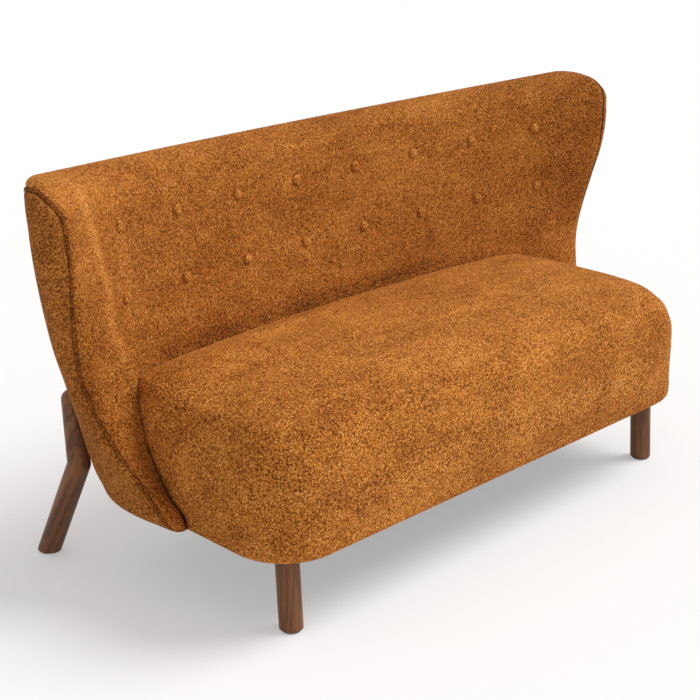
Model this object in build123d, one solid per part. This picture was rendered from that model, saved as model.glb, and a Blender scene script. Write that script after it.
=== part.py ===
from build123d import *
import math
import os

# Driving sizes, in millimetres
overall_width = 1554.0
overall_height = 770.0
overall_depth = 636.0
seat_height = 410.0
base_height = 142.0
leg_inset = 251.0
leg_diameter = 43.0

# Stuff thicknesses and clearances
pad_thick = 36.0
panel_thick = 8.0
board_thick = 18.0
rail_thick = 25.0
rail_height = 70.0
strap_thick = 2.0
felt_thick = 5.0
dust_thick = 1.0
plate_thick = 2.5
glide_thick = 3.0
soft_gap = 0.4
fit_gap = 0.2
seam_gap = 4.0
rib_clear = 6.0
rib_turn = 0.55
slant = math.sqrt(0.5)

# Lines that everything else is set out from
half_width = overall_width / 2
front_y = -overall_depth / 2
rear_y = overall_depth / 2
far = overall_width

# Back shell: lean of the inside back, tilt of its cross sections, roll along the top
lean_slope = 0.2142
pitch_low = 2.0
pitch_high = 12.75
back_inset = 249.0
thick_low = 152.0
thick_high = 110.0
roll_height = 63.0
roll_draw_in = 12.0
roll_draw_back = 12.0
arc_run = 0.515 * half_width
roll_angles = [26.0, 50.0, 68.0, 80.0]
ear_rise = 24.0
shell_top = overall_height - ear_rise
roll_start = shell_top - roll_height

# One row per height: share of the way up, tip set in from the full width, reach of the wing
# in front of the back, tip radius, bow of the back, run of the outer arc as a share of the half width
shell_rows = [
    (0.000, 177.5, 118.0, 12.0, 14.0, 0.503),
    (0.029, 169.0, 115.0, 20.0, 14.0, 0.577),
    (0.106, 153.0, 89.0, 25.0, 15.0, 0.635),
    (0.206, 137.0, 56.5, 30.0, 16.0, 0.662),
    (0.325, 121.0, 36.0, 33.0, 17.0, 0.672),
    (0.498, 100.0, 31.0, 36.5, 20.0, 0.668),
    (0.610, 82.5, 44.5, 38.0, 22.8, 0.638),
    (0.712, 67.0, 64.5, 39.5, 25.5, 0.597),
    (0.830, 50.0, 89.0, 40.5, 28.3, 0.557),
    (0.936, 41.5, 103.5, 40.5, 29.6, 0.533),
    (1.000, 39.0, 109.5, 39.5, 30.0, 0.525),
]
bottom_round = 14.0
pad_share = 1.2


# Plane helpers
def unit(p):
    size = math.hypot(p[0], p[1])
    return (p[0] / size, p[1] / size)


def add(p, q, share=1.0):
    return (p[0] + share * q[0], p[1] + share * q[1])


def dot(p, q):
    return p[0] * q[0] + p[1] * q[1]


def on_arc(centre, radius, start, end):
    middle = unit(add(((start[0] + end[0]) / 2, (start[1] + end[1]) / 2), centre, -1.0))
    return add(centre, middle, radius)


# A shell station: where its plane sits and the arcs of its right half
class Station:
    def __init__(self, share, roll=None):
        rows = shell_rows
        high = min(max(share, 0.0), 1.0)
        k = max(i for i in range(len(rows) - 1) if rows[i][0] <= high)
        t = (high - rows[k][0]) / (rows[k + 1][0] - rows[k][0])
        mix = [a + t * (b - a) for a, b in zip(rows[k], rows[k + 1])]
        height = roll_start - base_height
        self.z = base_height + share * height
        self.thick = thick_low + high * (thick_high - thick_low)
        self.pitch = math.radians(pitch_low + high * (pitch_high - pitch_low))
        self.back = rear_y - back_inset + lean_slope * share * height
        tip_x = half_width - mix[1]
        reach = mix[2]
        radius = mix[3]
        bow = mix[4]
        run = mix[5] * half_width
        if share == 0.0:
            self.thick -= 2 * bottom_round
            self.back += bottom_round
            reach += bottom_round
        if roll is not None:
            shrink = math.cos(math.radians(roll))
            rise = roll_height * math.sin(math.radians(roll))
            self.z = roll_start + rise
            self.back += lean_slope * rise + self.thick * (1 - shrink) / 2
            self.thick *= shrink
            radius *= shrink
            tip_x -= roll_draw_in * (1 - shrink)
            reach -= roll_draw_back * (1 - shrink)
        self.pad = min(pad_thick, pad_share * radius)
        self.set_arcs(tip_x, reach, radius, bow, run)

    def set_arcs(self, tip_x, reach, radius, bow, run):
        self.tip = (tip_x, -reach)
        self.radius = radius
        self.in_rad = (arc_run ** 2 + bow ** 2) / (2 * bow)
        self.in_mid = (0.0, -self.in_rad)
        self.in_end = (arc_run, -bow)
        n = unit(add(self.in_end, self.in_mid, -1.0))
        d = add(self.in_end, self.tip, -1.0)
        self.side_rad = (dot(d, d) - radius ** 2) / (2 * (radius + dot(d, n)))
        self.side_mid = add(self.in_end, n, -self.side_rad)
        self.side_dir = unit(add(self.tip, self.side_mid, -1.0))
        self.out_rad = (run ** 2 + bow ** 2) / (2 * bow)
        self.out_mid = (0.0, self.thick - self.out_rad)
        self.out_end = (run, self.thick - bow)
        n = unit(add(self.out_end, self.out_mid, -1.0))
        d = add(self.out_end, self.tip, -1.0)
        self.flank_rad = (dot(d, d) - radius ** 2) / (2 * (dot(d, n) - radius))
        self.flank_mid = add(self.out_end, n, -self.flank_rad)
        self.flank_dir = unit(add(self.tip, self.flank_mid, -1.0))

    def place(self, p):
        return (p[0], self.back + p[1] * math.cos(self.pitch), self.z - p[1] * math.sin(self.pitch))

    def level(self, p):
        return (p[0], self.back + p[1])

    def arc(self, centre, radius, start, end):
        middle = on_arc(centre, radius, start, end)
        return Edge.make_three_point_arc(self.place(start), self.place(middle), self.place(end))

    def line(self, start, end):
        return Edge.make_line(self.place(start), self.place(end))

    def mirrored(self, edges):
        flipped = [edge.mirror(Plane.YZ) for edge in reversed(edges)]
        return flipped

    # Outline parts from inside face to outer tangent of the tip
    def front_edges(self):
        inner = add(self.tip, self.side_dir, -self.radius)
        outer = add(self.tip, self.flank_dir, self.radius)
        a0 = math.atan2(-self.side_dir[1], -self.side_dir[0])
        a1 = math.atan2(self.flank_dir[1], self.flank_dir[0])
        a1 += 2 * math.pi if a1 < a0 else 0.0
        nose = add(self.tip, (math.cos((a0 + a1) / 2), math.sin((a0 + a1) / 2)), self.radius)
        right = [
            self.arc(self.side_mid, self.side_rad, self.in_end, inner),
            self.arc(self.tip, self.radius, inner, nose),
            self.arc(self.tip, self.radius, nose, outer),
        ]
        front = self.arc(self.in_mid, self.in_rad, (-self.in_end[0], self.in_end[1]), self.in_end)
        return front, right, outer

    # Whole outline of the shell
    def outline(self):
        front, right, outer = self.front_edges()
        right = right + [self.arc(self.flank_mid, self.flank_rad, outer, self.out_end)]
        rear = self.arc(self.out_mid, self.out_rad, self.out_end, (-self.out_end[0], self.out_end[1]))
        return Wire([front] + right + [rear] + self.mirrored(right))

    # Outline of the padded layer: inside face, wing tips and the back of the pad
    def pad_outline(self):
        front, right, outer = self.front_edges()
        turn = unit(add(self.in_end, self.in_mid, -1.0))
        start = add(self.in_mid, turn, self.in_rad + self.pad)
        end = add(self.side_mid, self.side_dir, self.side_rad + self.pad)
        right = right + [
            self.line(outer, end),
            self.arc(self.side_mid, self.side_rad + self.pad, end, start),
        ]
        rear = self.arc(self.in_mid, self.in_rad + self.pad, start, (-start[0], start[1]))
        return Wire([front] + right + [rear] + self.mirrored(right))

    # Outline of the outside panel, from wing seam to wing seam
    def panel_outline(self):
        swing = math.atan2(self.flank_dir[1], self.flank_dir[0]) + seam_gap / self.flank_rad
        way = (math.cos(swing), math.sin(swing))
        turn = unit(add(self.out_end, self.out_mid, -1.0))
        seam = add(self.flank_mid, way, self.flank_rad)
        seam_in = add(self.flank_mid, way, self.flank_rad - panel_thick)
        end_in = add(self.out_mid, turn, self.out_rad - panel_thick)
        right = [
            self.arc(self.flank_mid, self.flank_rad - panel_thick, end_in, seam_in),
            self.line(seam_in, seam),
            self.arc(self.flank_mid, self.flank_rad, seam, self.out_end),
        ]
        front = self.arc(self.out_mid, self.out_rad - panel_thick, (-end_in[0], end_in[1]), end_in)
        rear = self.arc(self.out_mid, self.out_rad, self.out_end, (-self.out_end[0], self.out_end[1]))
        return Wire([front] + right + [rear] + self.mirrored(right))

    # Outline of a rib in the hollow between pad and panel
    def rib_outline(self):
        inset = pad_thick + rib_clear
        outset = panel_thick + rib_clear
        turn = unit(add(self.in_end, self.in_mid, -1.0))
        start = add(self.in_mid, turn, self.in_rad + inset)
        way = unit(add((turn[0] * (1 - rib_turn), turn[1] * (1 - rib_turn)), self.side_dir, rib_turn))
        end = add(self.side_mid, way, self.side_rad + inset)
        turn = unit(add(self.out_end, self.out_mid, -1.0))
        rear_start = add(self.out_mid, turn, self.out_rad - outset)
        way = unit(add((turn[0] * (1 - rib_turn), turn[1] * (1 - rib_turn)), self.flank_dir, rib_turn))
        rear_end = add(self.flank_mid, way, self.flank_rad - outset)
        right = [
            self.arc(self.side_mid, self.side_rad + inset, start, end),
            self.line(end, rear_end),
            self.arc(self.flank_mid, self.flank_rad - outset, rear_end, rear_start),
        ]
        front = self.arc(self.in_mid, self.in_rad + inset, (-start[0], start[1]), start)
        rear = self.arc(self.out_mid, self.out_rad - outset, rear_start, (-rear_start[0], rear_start[1]))
        return Wire([front] + right + [rear] + self.mirrored(right))

    # Depth in plan of the inside face at a distance from the middle
    def front_depth(self, x):
        centre = self.in_mid if abs(x) <= arc_run else self.side_mid
        radius = self.in_rad if abs(x) <= arc_run else self.side_rad
        return centre[1] + math.sqrt(radius ** 2 - (abs(x) - centre[0]) ** 2)

    # Point on the inside face and the way it faces
    def front_point(self, x):
        v = self.front_depth(x)
        centre = self.in_mid if abs(x) <= arc_run else self.side_mid
        n = unit((centre[0] - abs(x), centre[1] - v))
        side = -1.0 if x < 0 else 1.0
        spot = Vector(*self.place((x, v)))
        facing = Vector(side * n[0], n[1] * math.cos(self.pitch), -n[1] * math.sin(self.pitch))
        return spot, facing

    # Point off the outside corner of the shell, halfway between rear and side
    def corner_point(self, off):
        return self.place(add(self.flank_mid, (slant, slant), self.flank_rad + off))


def box(x0, x1, y0, y1, z0, z1):
    return Pos((x0 + x1) / 2, (y0 + y1) / 2, (z0 + z1) / 2) * Box(x1 - x0, y1 - y0, z1 - z0)


def rod(start, end, radius):
    way = Vector(*end) - Vector(*start)
    return Solid.make_cylinder(radius, way.length, Plane(origin=start, z_dir=way))


def prism(points, z0, z1):
    ring = Wire.make_polygon([Vector(x, y, z0) for x, y in points], close=True)
    return Solid.extrude(Face(ring), Vector(0, 0, z1 - z0))


def upright(points, x0, x1):
    ring = Wire.make_polygon([Vector(x0, y, z) for y, z in points], close=True)
    return Solid.extrude(Face(ring), Vector(x1 - x0, 0, 0))


def both_sides(points):
    return points + flip(list(reversed(points)))


def flip(points):
    return [(-x, y) for x, y in points]


def one(shape):
    return max(shape.solids(), key=lambda s: s.volume)


def write(name, shape):
    shape.label = name
    export_step(shape, os.path.join("parts", name + ".step"))


def at_height(z):
    return Station((z - base_height) / (roll_start - base_height))


os.makedirs("parts", exist_ok=True)
shell_shares = [row[0] for row in shell_rows]

# Back upholstery: padded layer with wings, roll along the top, outside panel
low_shares = shell_shares[:-1] + [1.0 - soft_gap / (roll_start - base_height)]
back_pad = Solid.make_loft([Station(s).pad_outline() for s in low_shares])
top_roll = Solid.make_loft([Station(1.0).outline()] + [Station(1.0, a).outline() for a in roll_angles])
outside_panel = Solid.make_loft([Station(s).panel_outline() for s in low_shares])

# Buttons: two rows of eight, each drawn into a dimple
button_pitch = 0.212 * half_width
button_rows = [0.712, 0.936]
button_columns = 8
button_radius = 11.0
button_height = 6.5
button_edge = 3.0
button_seat = 1.4
dimple_radius = 60.0
dimple_depth = 7.0
tie_radius = 1.0
toggle_radius = 7.0
toggle_thick = 3.0
plain_button = Solid.make_cylinder(button_radius, button_height)
plain_button = plain_button.fillet(button_edge, [plain_button.edges().sort_by(Axis.Z)[-1]])
dimples = []
tie_holes = []
buttons = []
ties = []
toggles = []
for share in button_rows:
    for column in range(button_columns):
        x = (column - (button_columns - 1) / 2) * button_pitch
        spot, facing = Station(share).front_point(x)
        dimples.append(Pos(*(spot + facing * (dimple_radius - dimple_depth))) * Sphere(dimple_radius))
        base = spot - facing * (dimple_depth - button_seat)
        buttons.append(plain_button.moved(Location(Plane(origin=base, z_dir=facing))))
        end = spot - facing * (pad_thick + 2 * soft_gap)
        tie_holes.append(rod(spot, end - facing * dimple_depth, tie_radius + soft_gap))
        ties.append(rod(base, end, tie_radius))
        toggles.append(rod(end, end - facing * toggle_thick, toggle_radius))

# Bolts and spacers that hold the back to the seat
back_base = rear_y - back_inset
frame_low = base_height + soft_gap
rib_lift = 10.0
rib_low = base_height + bottom_round + rib_lift
rail_top = frame_low + rail_height
lower_rail_set = 52.0
lower_rail_front = back_base + lower_rail_set
lower_rail_rear = lower_rail_front + board_thick
seat_rear_set = 21.0
seat_rear = back_base - seat_rear_set
bolt_radius = 4.0
spacer_radius = 8.0
bolt_drop = 13.0
bolt_z = rail_top - bolt_drop
bolt_shares = [-0.43, -0.35, 0.35, 0.43]
bolt_x = [share * half_width for share in bolt_shares]
bolts = []
bolt_holes = []
spacers = []
spacer_holes = []
for x in bolt_x:
    near = (x, seat_rear - rail_thick, bolt_z)
    middle = (x, seat_rear, bolt_z)
    touch = (x, lower_rail_front, bolt_z)
    end = (x, lower_rail_rear, bolt_z)
    bolts.append(rod(near, end, bolt_radius))
    bolt_holes.append(rod(near, end, bolt_radius + fit_gap))
    spacers.append(one(rod(middle, touch, spacer_radius) - rod(near, end, bolt_radius + fit_gap)))
    spacer_holes.append(rod(near, end, spacer_radius + soft_gap))
back_pad = one(back_pad - dimples - tie_holes - spacer_holes)

# Frame inside the back: three ribs, four posts let into them, a lower rail
post_front = 40.0
post_gap = 5.0
post_shares = [-0.60, -0.20, 0.20, 0.60]
post_x = [share * half_width for share in post_shares]
rib_over_seat = 20.0
rib_under_roll = 4.0
post_end = 2.0
post_top_gap = 32.0
rib_heights = [rib_low, seat_height + rib_over_seat, roll_start - board_thick - rib_under_roll]
post_low = rib_low - post_end
post_high = roll_start - post_top_gap
half_board = board_thick / 2


def post_points(x, gap):
    points = []
    for z in (post_low, post_high):
        station = at_height(z)
        front = station.back + station.front_depth(x) + pad_thick + post_front - gap
        points.append((front, z))
    for z in (post_high, post_low):
        station = at_height(z)
        outer = station.out_mid[1] + math.sqrt(station.out_rad ** 2 - x ** 2)
        points.append((station.back + outer - panel_thick - post_gap + far * (gap > 0), z))
    return points


posts = []
notches = []
for x in post_x:
    posts.append(upright(post_points(x, 0.0), x - half_board, x + half_board))
    notches.append(upright(post_points(x, fit_gap), x - half_board - fit_gap, x + half_board + fit_gap))
ribs = []
for z in rib_heights:
    station = at_height(z)
    upward = Vector(0, math.sin(station.pitch), math.cos(station.pitch))
    plate = Solid.extrude(Face(station.rib_outline()), upward * board_thick)
    ribs.append(one(plate - notches))
lower_share = 0.56
lower_half = lower_share * half_width
lower_rail = box(-lower_half, lower_half, lower_rail_front, lower_rail_rear, rib_low + half_board, rail_top)
lower_rail = one(lower_rail - ribs[0] - bolt_holes)

# Rear legs: straight lower leg splayed back, knee off the shell, upper arm flat against it
leg_radius = leg_diameter / 2
foot_share = 0.93
foot_inset = foot_share * leg_radius
foot_side = 141.0
rear_foot = (half_width - foot_side, rear_y - foot_inset)
knee_rise = 76.0
knee_off = 31.0
arm_rise = 210.0
arm_off = 4.0
arm_taper = 0.86
arm_top = base_height + arm_rise
foot_edge = 1.5
knee = Vector(*at_height(base_height + knee_rise).corner_point(knee_off))
arm = Vector(*at_height(arm_top).corner_point(arm_off))
foot = Vector(rear_foot[0], rear_foot[1], 0.0)
below = foot + (foot - knee).normalized() * leg_diameter
arm_radius = leg_radius * arm_taper
upper_arm = Solid.make_cone(leg_radius, arm_radius, (arm - knee).length, Plane(origin=knee, z_dir=arm - knee))
rear_leg = rod(below, knee, leg_radius) + Pos(*knee) * Sphere(leg_radius) + upper_arm
rear_leg = rear_leg + Pos(*arm) * Sphere(arm_radius)
rear_leg = one(rear_leg - box(-far, far, -far, far, -far, glide_thick))
rear_leg = rear_leg.chamfer(foot_edge, None, [rear_leg.edges().sort_by(Axis.Z)[0]])
contact_reach = 90.0
contact_low = arm_top - contact_reach
contact_high = arm_top + arm_radius
lower = Vector(*at_height(contact_low).corner_point(0.0))
upper = Vector(*at_height(contact_high).corner_point(0.0))
across = Vector(slant, -slant, 0.0)
facing = (upper - lower).cross(across).normalized()
facing = facing if facing.Y > 0 else facing * -1.0
bulge = 0.0
for share in (0.2, 0.4, 0.6, 0.8):
    spot = Vector(*at_height(contact_low + share * (contact_high - contact_low)).corner_point(0.0))
    bulge = max(bulge, (spot - lower).dot(facing))
leg_gap = 1.4
keep = Plane(origin=lower + facing * (bulge + leg_gap), x_dir=across, z_dir=facing)
half_space = keep.offset(-far / 2) * Box(far, far, far)
rear_leg = one(rear_leg - half_space)
dowel_radius = 5.0
dowel_out = 10.0
dowel_in = 44.0
dowels = []
dowel_holes = []
dowel_drops = [62.0, 28.0]
for z in [arm_top - drop for drop in dowel_drops]:
    spot = Vector(*at_height(z).corner_point(0.0))
    dowels.append(rod(spot + facing * dowel_out, spot - facing * dowel_in, dowel_radius))
    dowel_holes.append(rod(spot + facing * (dowel_out + fit_gap), spot - facing * (dowel_in + fit_gap),
                           dowel_radius + fit_gap))
rear_leg = one(rear_leg - dowel_holes)
all_dowels = dowels + [d.mirror(Plane.YZ) for d in dowels]
outside_panel = one(outside_panel - dowel_holes - [d.mirror(Plane.YZ) for d in dowel_holes])
block_drop = 84.0
block_tall = 76.0
block_low = arm_top - block_drop
block_high = block_low + block_tall
block_gap = 6.0
block_deep = 34.0
block_span = 40.0
station = at_height(block_low)
corner = add(station.flank_mid, (slant, slant), station.flank_rad - panel_thick - block_gap)
block_points = []
block_ends = [(-block_span, 0.0), (block_span, 0.0), (block_span, block_deep), (-block_span, block_deep)]
for along, deep in block_ends:
    p = add(corner, (slant, -slant), along)
    p = add(p, (slant, slant), -deep)
    block_points.append(station.level(p))
leg_block = one(prism(block_points, block_low, block_high) - dowel_holes)

# Seat upholstery: crowned block with rounded corners, shaped to the back behind
seat_side_inset = 174.5
seat_half = half_width - seat_side_inset
seat_corner = 105.0
seat_rise = seat_height - base_height
seat_gap = 8.0
seat_rows = [
    (0.000, 16.0, 16.0),
    (0.030, 6.0, 6.0),
    (0.090, 1.0, 1.0),
    (0.190, 0.0, 0.0),
    (0.320, 0.0, 0.0),
    (0.480, 0.0, 0.0),
    (0.690, 4.0, 8.0),
    (0.830, 21.0, 26.0),
    (0.920, 56.0, 57.0),
    (0.975, 114.0, 118.0),
    (1.000, 173.0, 176.0),
]


def seat_ring(share, fore, side):
    z = base_height + share * seat_rise
    station = at_height(z)
    w = seat_half - side
    y = front_y + fore
    r = seat_corner
    pull = r * (1 - slant)
    limit = add(station.tip, station.side_dir, -station.radius - seat_gap)
    x = min(w - seat_gap, limit[0] - seat_gap)
    inner_rad = station.side_rad - seat_gap
    turn = unit(add(station.in_end, station.in_mid, -1.0))
    knot = station.level(add(station.in_mid, turn, station.in_rad - seat_gap))
    centre = station.level(station.side_mid)
    touch = (x, centre[1] + math.sqrt(inner_rad ** 2 - (x - centre[0]) ** 2))
    bend = on_arc(centre, inner_rad, touch, knot)
    right = [
        Edge.make_three_point_arc((w - r, y, z), (w - pull, y + pull, z), (w, y + r, z)),
        Edge.make_line((w, y + r, z), touch + (z,)),
        Edge.make_three_point_arc(touch + (z,), bend + (z,), knot + (z,)),
    ]
    left = [edge.mirror(Plane.YZ) for edge in reversed(right)]
    fore_line = Edge.make_line((r - w, y, z), (w - r, y, z))
    top = station.level((0.0, -seat_gap))
    rear = Edge.make_three_point_arc(knot + (z,), top + (z,), (-knot[0], knot[1], z))
    return Wire([fore_line] + right + [rear] + left)


# Seat frame, set out as an eight sided ring of rails
rail_set = 33.0
rail_front = front_y + rail_set
side_set = 48.0
side_out = seat_half - side_set
chamfer = 18.0
block_run = 90.0
rear_set = 201.0
rear_half = seat_half - rear_set
side_run = 126.0
side_end = back_base - side_run
block_reach = 100.0
diagonal_in = 30.5
diagonal_side = 13.0
block_x = side_out - block_reach
side_in = side_out - rail_thick


def ring_points(grow):
    return both_sides([
        (side_out - chamfer + grow / 2, rail_front - grow),
        (side_out + grow, rail_front + chamfer - grow / 2),
        (side_out + grow, side_end + grow / 2),
        (rear_half + grow / 2, seat_rear + grow),
    ])


front_rail = box(-block_x, block_x, rail_front, rail_front + rail_thick, frame_low, rail_top)
rear_rail = box(-rear_half, rear_half, seat_rear - rail_thick, seat_rear, frame_low, rail_top)
rear_rail = one(rear_rail - bolt_holes)
centre_rail = box(-rail_thick / 2, rail_thick / 2, rail_front + rail_thick, seat_rear - rail_thick,
                  frame_low, rail_top)
corner_points = [
    (block_x, rail_front),
    (side_out - chamfer, rail_front),
    (side_out, rail_front + chamfer),
    (side_out, rail_front + block_run),
    (side_in - rail_thick, rail_front + block_run),
    (block_x, rail_front + rail_thick),
]
diagonal_points = [
    (side_out, side_end),
    (rear_half, seat_rear),
    (rear_half, seat_rear - diagonal_in),
    (side_in, side_end - diagonal_side),
    (side_in, side_end),
]

# Front legs with their plates, hanger bolts and screws
leg_x = half_width - leg_inset
leg_set = 64.0
leg_splay = 8.5
leg_foot_y = front_y + leg_set
leg_top_y = leg_foot_y + leg_splay
plate_half = 25.0
screw_off = 20.0
screw_radius = 2.0
screw_length = 18.0
head_radius = 3.5
head_thick = 0.9
hanger_radius = 4.0
hanger_reach = 45.0
foot_round = 1.8
plate_low = frame_low - plate_thick
leg_rough = Solid.make_loft([
    Wire.make_circle(leg_radius - foot_round, Plane(origin=(leg_x, leg_foot_y, glide_thick))),
    Wire.make_circle(leg_radius, Plane(origin=(leg_x, leg_foot_y, glide_thick + foot_round))),
    Wire.make_circle(leg_radius, Plane(origin=(leg_x, leg_top_y, plate_low))),
], ruled=True)
hanger_low = (leg_x, leg_top_y, plate_low - hanger_reach)
hanger_high = (leg_x, leg_top_y, frame_low + hanger_reach)
hanger = rod(hanger_low, hanger_high, hanger_radius)
hanger_hole = rod(hanger_low, hanger_high, hanger_radius + fit_gap)
front_leg = one(leg_rough - hanger_hole)
plate = box(leg_x - plate_half, leg_x + plate_half, leg_top_y - plate_half, leg_top_y + plate_half,
            plate_low, frame_low)
screws = []
screw_holes = []
for dx in (-screw_off, screw_off):
    for dy in (-screw_off, screw_off):
        x = leg_x + dx
        y = leg_top_y + dy
        shank = rod((x, y, plate_low), (x, y, frame_low + screw_length), screw_radius)
        head = rod((x, y, plate_low - head_thick), (x, y, plate_low), head_radius)
        screws.append(one(shank + head))
        screw_holes.append(rod((x, y, plate_low), (x, y, frame_low + screw_length), screw_radius + fit_gap))
plate = one(plate - hanger_hole - screw_holes)
corner_block = one(prism(corner_points, frame_low, rail_top) - hanger_hole - screw_holes)
g = soft_gap
plate_void = box(leg_x - plate_half - g, leg_x + plate_half + g, leg_top_y - plate_half - g,
                 leg_top_y + plate_half + g, 0.0, frame_low)
plate_voids = [plate_void, plate_void.mirror(Plane.YZ)]

# Seat webbing, felt, cushion and dust cover
back_dust_inset = 2.0
web_half = 30.0
cross_share = 0.149
cross_step = cross_share * half_width
cross_count = 7
web_high = rail_top + strap_thick
cross_straps = []
for k in range(cross_count):
    x = (k - (cross_count - 1) / 2) * cross_step
    cross_straps.append(box(x - web_half, x + web_half, rail_front, seat_rear, rail_top, web_high))
front_band_set = 50.0
front_band_in = 32.0
middle_band_set = 157.0
middle_band_in = 3.0
rear_band_set = 47.0
rear_band_in = 115.0
long_rows = [
    (rail_front + front_band_set, side_out - front_band_in),
    (rail_front + middle_band_set, side_out - middle_band_in),
    (side_end + rear_band_set, side_out - rear_band_in),
]
long_low = web_high + fit_gap
long_straps = []
for y, reach in long_rows:
    long_straps.append(box(-reach, reach, y - web_half, y + web_half, long_low, long_low + strap_thick))
felt_low = long_low + strap_thick + fit_gap
felt_top = felt_low + felt_thick
felt = prism(ring_points(0.0), felt_low, felt_top)
seat_cushion = Solid.make_loft([seat_ring(*row) for row in seat_rows])
pocket = prism(ring_points(soft_gap), 0.0, felt_top + fit_gap)
seat_cushion = one(seat_cushion - pocket - spacer_holes - plate_voids)
dust_top = base_height - fit_gap
dust_lap = 6.0
dust_cover = prism(ring_points(dust_lap), dust_top - dust_thick, dust_top)
dust_cover = one(dust_cover - plate_voids)

# Dust cover under the back
station = Station(0.0)
station.set_arcs(station.tip[0], -station.tip[1], station.radius - back_dust_inset, shell_rows[0][4],
                 shell_rows[0][5] * half_width)
back_dust = Face(station.outline())
down = Vector(0.0, -math.sin(station.pitch), -math.cos(station.pitch))
back_dust = Solid.extrude(back_dust, down * dust_thick).moved(Pos(*(down * fit_gap)))

# Foot glides
glide_radius = 17.0
glides = []
for x, y in ((leg_x, leg_foot_y), rear_foot):
    glides.append(rod((x, y, 0.0), (x, y, glide_thick), glide_radius))

single = {
    "inside_back_pad": back_pad,
    "back_top_roll": top_roll,
    "outside_back_panel": outside_panel,
    "back_rib_bottom": ribs[0],
    "back_rib_middle": ribs[1],
    "back_rib_top": ribs[2],
    "back_lower_rail": lower_rail,
    "back_post_outer_left": posts[0],
    "back_post_inner_left": posts[1],
    "back_post_inner_right": posts[2],
    "back_post_outer_right": posts[3],
    "rear_leg_right": rear_leg,
    "rear_leg_left": rear_leg.mirror(Plane.YZ),
    "rear_leg_block_right": leg_block,
    "rear_leg_block_left": leg_block.mirror(Plane.YZ),
    "seat_cushion": seat_cushion,
    "seat_felt": felt,
    "seat_front_rail": front_rail,
    "seat_rear_rail": rear_rail,
    "seat_center_rail": centre_rail,
    "seat_side_rail_right": box(side_in, side_out, rail_front + block_run, side_end, frame_low, rail_top),
    "seat_side_rail_left": box(-side_out, -side_in, rail_front + block_run, side_end, frame_low, rail_top),
    "seat_corner_block_right": corner_block,
    "seat_corner_block_left": corner_block.mirror(Plane.YZ),
    "seat_diagonal_rail_right": prism(diagonal_points, frame_low, rail_top),
    "seat_diagonal_rail_left": prism(flip(diagonal_points), frame_low, rail_top),
    "seat_dust_cover": dust_cover,
    "back_dust_cover": back_dust,
    "front_leg_right": front_leg,
    "front_leg_left": front_leg.mirror(Plane.YZ),
    "leg_plate_right": plate,
    "leg_plate_left": plate.mirror(Plane.YZ),
    "foot_glide_front_right": glides[0],
    "foot_glide_front_left": glides[0].mirror(Plane.YZ),
    "foot_glide_rear_right": glides[1],
    "foot_glide_rear_left": glides[1].mirror(Plane.YZ),
}
groups = {
    "tuft_buttons": buttons,
    "button_ties": ties,
    "tie_toggles": toggles,
    "seat_webbing_cross": cross_straps,
    "seat_webbing_long": long_straps,
    "back_bolts": bolts,
    "bolt_spacers": spacers,
    "rear_leg_dowels": all_dowels,
    "hanger_bolts": [hanger, hanger.mirror(Plane.YZ)],
    "plate_screws": screws + [s.mirror(Plane.YZ) for s in screws],
}
for name, shape in single.items():
    write(name, shape)
for name, shapes in groups.items():
    write(name, Compound(children=[one(s) for s in shapes]))
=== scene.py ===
import math
import bpy
import bmesh
import numpy as np
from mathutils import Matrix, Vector


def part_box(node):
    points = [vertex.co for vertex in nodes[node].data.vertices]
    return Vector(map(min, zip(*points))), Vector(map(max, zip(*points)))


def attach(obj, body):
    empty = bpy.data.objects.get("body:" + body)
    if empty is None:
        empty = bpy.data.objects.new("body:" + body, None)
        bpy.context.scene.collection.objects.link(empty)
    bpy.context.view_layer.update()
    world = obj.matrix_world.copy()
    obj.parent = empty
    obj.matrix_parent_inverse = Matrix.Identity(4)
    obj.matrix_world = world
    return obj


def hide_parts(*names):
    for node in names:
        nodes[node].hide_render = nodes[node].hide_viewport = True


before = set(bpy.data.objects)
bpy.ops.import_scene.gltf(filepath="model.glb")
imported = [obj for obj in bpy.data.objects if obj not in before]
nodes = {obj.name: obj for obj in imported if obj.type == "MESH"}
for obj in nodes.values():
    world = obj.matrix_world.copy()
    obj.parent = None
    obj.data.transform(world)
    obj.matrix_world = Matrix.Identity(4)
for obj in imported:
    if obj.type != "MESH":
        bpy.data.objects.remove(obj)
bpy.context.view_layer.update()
scene = bpy.context.scene
scene.view_settings.view_transform = "Standard"


# a socket that can be added, multiplied and so on; each sign adds one Math node
class Tone:
    def __init__(self, finish, socket):
        self.finish = finish
        self.socket = socket

    def sum(self, operation, a, b):
        return self.finish.add("ShaderNodeMath", {"operation": operation}, {0: a, 1: b})

    def __add__(self, other):
        return self.sum("ADD", self, other)

    def __radd__(self, other):
        return self.sum("ADD", other, self)

    def __sub__(self, other):
        return self.sum("SUBTRACT", self, other)

    def __rsub__(self, other):
        return self.sum("SUBTRACT", other, self)

    def __mul__(self, other):
        return self.sum("MULTIPLY", self, other)

    def __rmul__(self, other):
        return self.sum("MULTIPLY", other, self)

    def clip(self, low, high):
        # 0 below low, 1 above high, with a soft step between
        links = {"Value": self, "From Min": low, "From Max": high}
        return self.finish.add("ShaderNodeMapRange", {"interpolation_type": "SMOOTHSTEP"}, links)


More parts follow.
